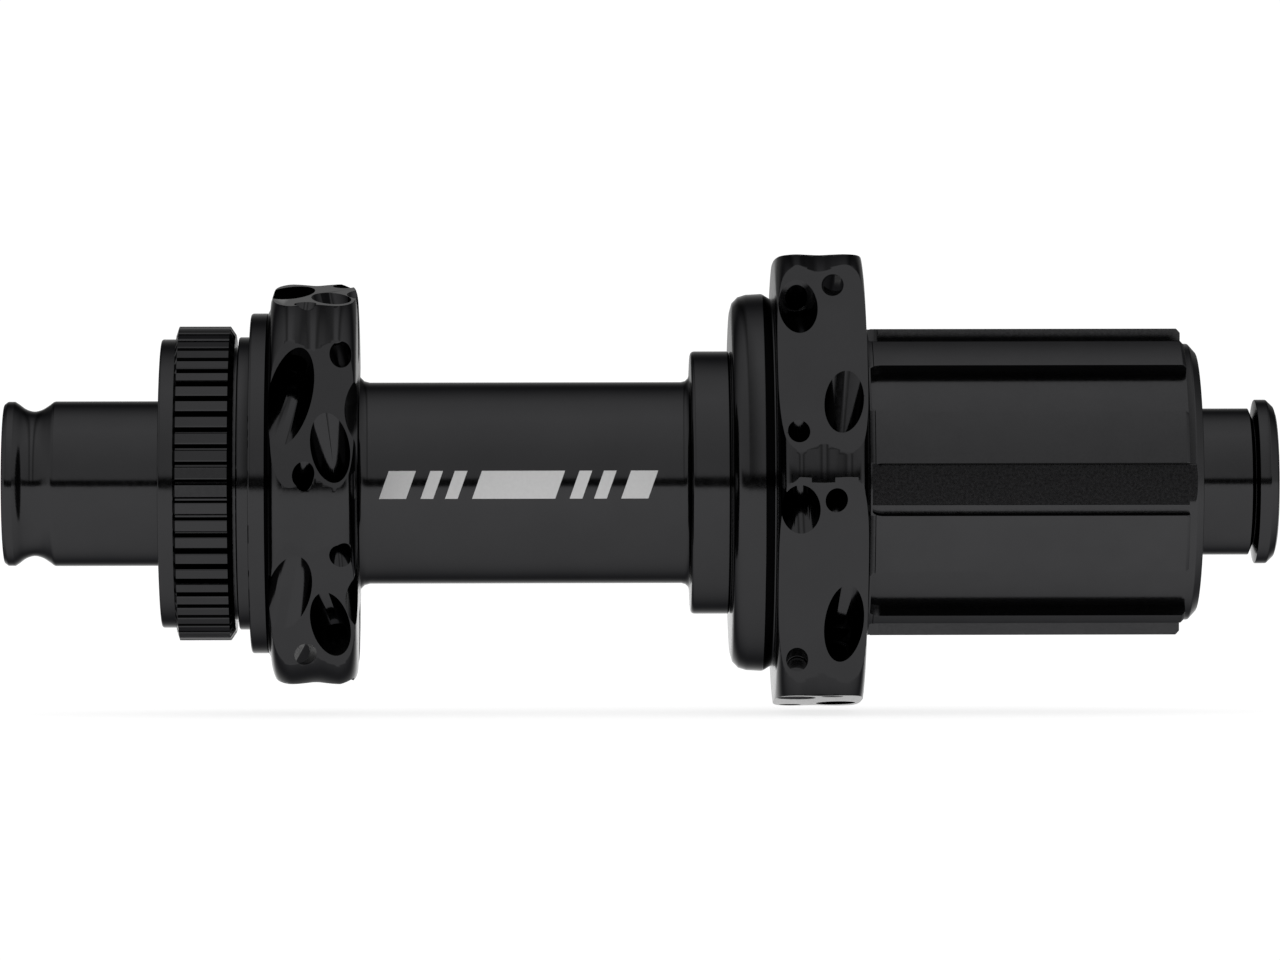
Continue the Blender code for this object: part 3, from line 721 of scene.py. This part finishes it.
class HUB_OT_end_caps(bpy.types.Operator):
    """Turn the two end caps and the hollow axle"""

    bl_idname = "hub.end_caps"
    bl_label = "End caps and axle"

    def execute(self, context):
        self.left_cap()
        self.right_cap()
        self.axle()
        return {"FINISHED"}

    def left_cap(self):
        left = LEFT_CAP_LOW.x / MM
        right = LEFT_CAP_HIGH.x / MM
        waist = smooth([(left + 1.2, 9.18), (left + 1.7, 8.85), (left + 2.4, 8.35), (left + 3.3, 8.08),
                        (left + 4.2, 8.27), (left + 5.0, 8.75), (left + 5.5, 9.12), (left + 5.75, 9.21)])
        corners = [(left, 6.2, 0.3), (left, 8.85, 0.25), (left + 0.45, 9.18, 0.3), *waist,
                   (right - 0.1, 9.21, 0.2), (right, 7.5, 0.1), (-62.3, 7.5, 0.1), (-62.3, 6.2, 0.1)]
        cap = turn("end_cap_left_turned", rounded(corners, steps=6))
        dress(cap, "axle_assembly", "gloss_black_anodising", "black_anodised", "end_cap_left")

    def right_cap(self):
        left = RIGHT_CAP_LOW.x / MM
        right = RIGHT_CAP_HIGH.x / MM
        corners = [(left, 7.5, 0.1), (left, 8.19, 0.1), (right - 3.0, 8.19, 0.05), (right - 2.5, 7.0, 0.05),
                   (right - 2.25, 9.17, 0.12), (right - 1.0, 9.17, 0.3), (right - 0.2, 8.4, 0.4),
                   (right, 7.8, 0.2), (right, 6.2, 0.3), (64.3, 6.2, 0.1), (64.3, 7.5, 0.1)]
        cap = turn("end_cap_right_turned", rounded(corners, steps=6))
        dress(cap, "axle_assembly", "gloss_black_anodising", "black_anodised", "end_cap_right")

    def axle(self):
        left = AXLE_LOW.x / MM
        right = AXLE_HIGH.x / MM
        corners = [(left, 6.2, 0.15), (left, 7.2, 0.3), (-58.7, 7.2, 0.05), (-58.7, 6.75, 0.05),
                   (-57.3, 6.75, 0.05), (-57.3, 7.2, 0.05), (-46.1, 7.2, 0.1), (-46.1, 8.8, 0.3),
                   (5.9, 8.8, 0.3), (5.9, 7.2, 0.1), (61.0, 7.2, 0.05), (61.0, 6.75, 0.05),
                   (62.4, 6.75, 0.05), (62.4, 7.2, 0.05), (right, 7.2, 0.3), (right, 6.2, 0.15)]
        tube = turn("axle_turned", rounded(corners, steps=4), 128)
        dress(tube, "axle_assembly", "gloss_black_anodising", "black_anodised", "axle")


class HUB_OT_seals(bpy.types.Operator):
    """Mould the lip seals, dust seal and seal rings"""

    bl_idname = "hub.seals"
    bl_label = "Seals"

    def execute(self, context):
        self.seal("left_dust_seal", "axle_assembly", True)
        self.seal("freehub_end_seal", "axle_assembly", False)
        self.seal("freehub_lip_seal", "hub_body", False)
        for name in ("o_ring_left", "o_ring_right"):
            self.cord_ring(name)
        return {"FINISHED"}

    def seal(self, node, body, outer_face_left):
        """A flat rubber washer whose face has a shallow groove between its lip and its rim."""
        low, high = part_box(node)
        left, right = low.x / MM, high.x / MM
        outer = high.z / MM
        inner = {"left_dust_seal": 9.6, "freehub_end_seal": 8.6, "freehub_lip_seal": 16.9}[node]
        width = outer - inner
        sunk = 0.35
        groove = [(0.18, 0.0), (0.3, sunk), (0.62, sunk), (0.74, 0.0)]
        face = [(drop, inner + width * share) for share, drop in groove]
        if outer_face_left:
            corners = [(left + drop, radius, 0.08) for drop, radius in [(0.0, inner), *face, (0.0, outer)]]
            corners += [(right, outer, 0.1), (right, inner, 0.1)]
        else:
            inwards = [(0.0, outer), *face[::-1], (0.0, inner)]
            corners = [(right - drop, radius, 0.08) for drop, radius in inwards]
            corners += [(left, inner, 0.1), (left, outer, 0.1)]
        piece = turn(f"{node}_moulded", rounded(corners, steps=3), 128)
        dress(piece, body, "nitrile_rubber", "seal_rubber", node)

    def cord_ring(self, node):
        """A round-section rubber ring in its groove."""
        low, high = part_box(node)
        inner = 6.95 * MM
        deselect()
        bpy.ops.mesh.primitive_torus_add(major_segments=96, minor_segments=16,
                                         major_radius=(high.z + inner) / 2.0,
                                         minor_radius=(high.z - inner) / 2.0,
                                         location=((low.x + high.x) / 2.0, 0.0, 0.0),
                                         rotation=(0.0, math.pi / 2.0, 0.0))
        ring = bpy.context.object
        ring.name = f"{node}_moulded"
        dress(ring, "axle_assembly", "nitrile_rubber", "seal_rubber", node)


class HUB_OT_inner_parts(bpy.types.Operator):
    """Give the bearings, ratchet, spring and spacers their finishes"""

    bl_idname = "hub.inner_parts"
    bl_label = "Inner parts"

    def execute(self, context):
        finishes = {"bearing_steel": "bearing_steel_ground", "hardened_steel": "ratchet_steel_nitrided",
                    "ball_cage": "bearing_steel_ground", "seal_rubber": "nitrile_rubber",
                    "black_anodised": "gloss_black_anodising", "satin_anodised": "satin_black_anodising"}
        for entry in frame["record"]["subparts"]:
            node = NODES[entry["node"]]
            node.data.materials.clear()
            node.data.materials.append(finish(finishes[entry["material_slot"]]))
        return {"FINISHED"}


class HUB_OT_mark(bpy.types.Operator):
    """Etch a row of plain slanted bars on the front of the barrel"""

    bl_idname = "hub.mark"
    bl_label = "Etched bars"

    def execute(self, context):
        radius = context.scene.hub_shell.barrel_radius + 0.012 * MM
        centre_x = -13.6 * MM
        height = 3.1 * MM
        slant = 1.1 * MM
        bars = [(-13.4, 3.0), (-9.6, 1.4), (-6.9, 1.4), (0.0, 9.2), (6.9, 1.4), (9.6, 1.4), (13.4, 3.0)]
        for index, (offset, width) in enumerate(bars):
            deselect()
            bpy.ops.mesh.primitive_grid_add(x_subdivisions=4, y_subdivisions=24, size=1.0)
            bar = bpy.context.object
            bar.name = f"etched_bar_{index + 1}"
            for vertex in bar.data.vertices:
                across, up = vertex.co.x, vertex.co.y
                angle = (up * height - 0.2 * MM) / radius
                x = centre_x + offset * MM + across * width * MM + up * slant
                vertex.co = hub_point(x, radius, angle)
            modifier = bar.modifiers.new("film", "SOLIDIFY")
            modifier.thickness = 0.02 * MM
            modifier.offset = 0.0
            bpy.ops.object.modifier_apply(modifier=modifier.name)
            dress(bar, "hub_body", "etched_mark", "black_anodised")
        return {"FINISHED"}


# ---------------------------------------------------------------- studio

class HUB_OT_stage(bpy.types.Operator):
    """Set the camera, the pale floor and the soft studio light"""

    bl_idname = "hub.stage"
    bl_label = "Studio"

    def execute(self, context):
        self.camera()
        self.floor()
        self.sky()
        context.scene.view_settings.view_transform = "Standard"
        return {"FINISHED"}

    def camera(self):
        distance = 1.0
        shown_width = 0.14321
        sensor = 36.0
        aim = Vector((0.0, 0.0, 0.0003))
        data = bpy.data.cameras.new("camera")
        data.sensor_width = sensor
        data.lens = sensor * distance / shown_width
        data.clip_start = 0.01
        camera = bpy.data.objects.new("camera", data)
        bpy.context.scene.collection.objects.link(camera)
        camera.location = (-0.015, -distance, aim.z)
        facing = (aim - camera.location).to_track_quat("-Z", "Y").to_matrix()
        roll = Matrix.Rotation(math.radians(-0.11), 3, "Z")
        camera.rotation_euler = (facing @ roll).to_euler()
        bpy.context.scene.camera = camera

    def floor(self):
        width, front, back = 6.0, -0.36, 3.0
        deselect()
        below = CAD_BOX[0][2] - 0.5 * MM
        bpy.ops.mesh.primitive_plane_add(size=1.0, location=(0.0, (front + back) / 2.0, below))
        plane = bpy.context.object
        plane.name = "floor"
        plane.scale = (width, back - front, 1.0)
        bpy.ops.object.transform_apply(location=True, rotation=True, scale=True)
        plane.data.materials.append(finish("studio_paper"))

    def grey_ramp(self, tree, source, stops):
        """A ramp from a value to levels of grey."""
        ramp = add_node(tree, "ShaderNodeValToRGB", None, Fac=source)
        elements = ramp.color_ramp.elements
        for index, (position, level) in enumerate(stops):
            element = elements[index] if index < 2 else elements.new(position)
            element.position = position
            element.color = (level, level, level, 1.0)
        return ramp

    def sky(self):
        """White for the eye; for reflections a soft tent with dim gaps and a dark slit level with the hub."""
        world = bpy.data.worlds.new("studio")
        bpy.context.scene.world = world
        world.use_nodes = True
        tree = world.node_tree
        tree.nodes.clear()
        coords = add_node(tree, "ShaderNodeTexCoord").outputs["Generated"]
        parts = add_node(tree, "ShaderNodeSeparateXYZ", None, Vector=coords)
        facing = add_node(tree, "ShaderNodeMapRange", None, Value=parts.outputs["Y"], From_Min=1.0,
                          From_Max=-1.0)
        ramp = self.grey_ramp(tree, facing.outputs["Result"], [
            (0.0, 0.48), (0.1, 0.54), (0.235, 0.72), (0.365, 0.88), (0.595, 0.98), (0.8, 0.87),
            (0.965, 0.72)])
        soft = {"interpolation_type": "SMOOTHSTEP"}
        height = add_node(tree, "ShaderNodeMath", {"operation": "ABSOLUTE"}, i0=parts.outputs["Z"])
        above = add_node(tree, "ShaderNodeMapRange", soft, Value=height.outputs[0], From_Min=0.065,
                         From_Max=0.11)
        aside = add_node(tree, "ShaderNodeMapRange", soft, Value=parts.outputs["Y"], From_Min=-0.6,
                         From_Max=-0.2)
        open_tent = add_node(tree, "ShaderNodeMath", {"operation": "MAXIMUM"},
                             i0=above.outputs["Result"], i1=aside.outputs["Result"])
        width = add_node(tree, "ShaderNodeMath", {"operation": "ABSOLUTE"}, i0=parts.outputs["X"])
        sides = self.grey_ramp(tree, width.outputs[0], [(0.1, 1.0), (0.24, 0.35), (0.4, 0.9), (1.0, 0.75)])
        slit = add_node(tree, "ShaderNodeMapRange", None, Value=open_tent.outputs[0], To_Min=0.04, To_Max=1.0)
        level = add_node(tree, "ShaderNodeMath", {"operation": "MULTIPLY"}, i0=slit.outputs["Result"],
                         i1=sides.outputs["Color"])
        tent = add_node(tree, "ShaderNodeBackground", None, Color=ramp.outputs["Color"],
                        Strength=level.outputs[0])
        paper = add_node(tree, "ShaderNodeBackground", None, Color=(1.0, 1.0, 1.0, 1.0), Strength=1.05)
        rays = add_node(tree, "ShaderNodeLightPath")
        mix = add_node(tree, "ShaderNodeMixShader", None, i0=rays.outputs["Is Camera Ray"],
                       i1=tent.outputs[0], i2=paper.outputs[0])
        output = add_node(tree, "ShaderNodeOutputWorld")
        tree.links.new(mix.outputs[0], output.inputs["Surface"])


# ---------------------------------------------------------------- add-on

OPERATORS = (HUB_OT_inner_parts, HUB_OT_shell, HUB_OT_rotor_ring, HUB_OT_freehub, HUB_OT_end_caps,
             HUB_OT_seals, HUB_OT_mark, HUB_OT_stage)


class HUB_PT_panel(bpy.types.Panel):
    """Lists the hub's pieces in the order that they are made."""

    bl_idname = "HUB_PT_panel"
    bl_label = "Rear hub"
    bl_space_type = "VIEW_3D"
    bl_region_type = "UI"
    bl_category = "Rear hub"

    def draw(self, context):
        for group in (context.scene.hub_shell, context.scene.hub_freehub, context.scene.hub_colours):
            box = self.layout.box()
            for key in group.__annotations__:
                box.prop(group, key)
        for operator in OPERATORS:
            self.layout.operator(operator.bl_idname)


GROUPS = {"hub_shell": HubShellSizes, "hub_freehub": FreehubSizes, "hub_colours": FinishColours}


def register():
    for group in GROUPS.values():
        bpy.utils.register_class(group)
    for name, group in GROUPS.items():
        setattr(bpy.types.Scene, name, bpy.props.PointerProperty(type=group))
    for item in (*OPERATORS, HUB_PT_panel):
        bpy.utils.register_class(item)


def unregister():
    for item in reversed((*OPERATORS, HUB_PT_panel)):
        bpy.utils.unregister_class(item)
    for name in GROUPS:
        delattr(bpy.types.Scene, name)
    for group in reversed(list(GROUPS.values())):
        bpy.utils.unregister_class(group)


def main():
    register()
    for operator in OPERATORS:
        category, name = operator.bl_idname.split(".")
        getattr(getattr(bpy.ops, category), name)()
    deselect()


if __name__ == "__main__":
    main()
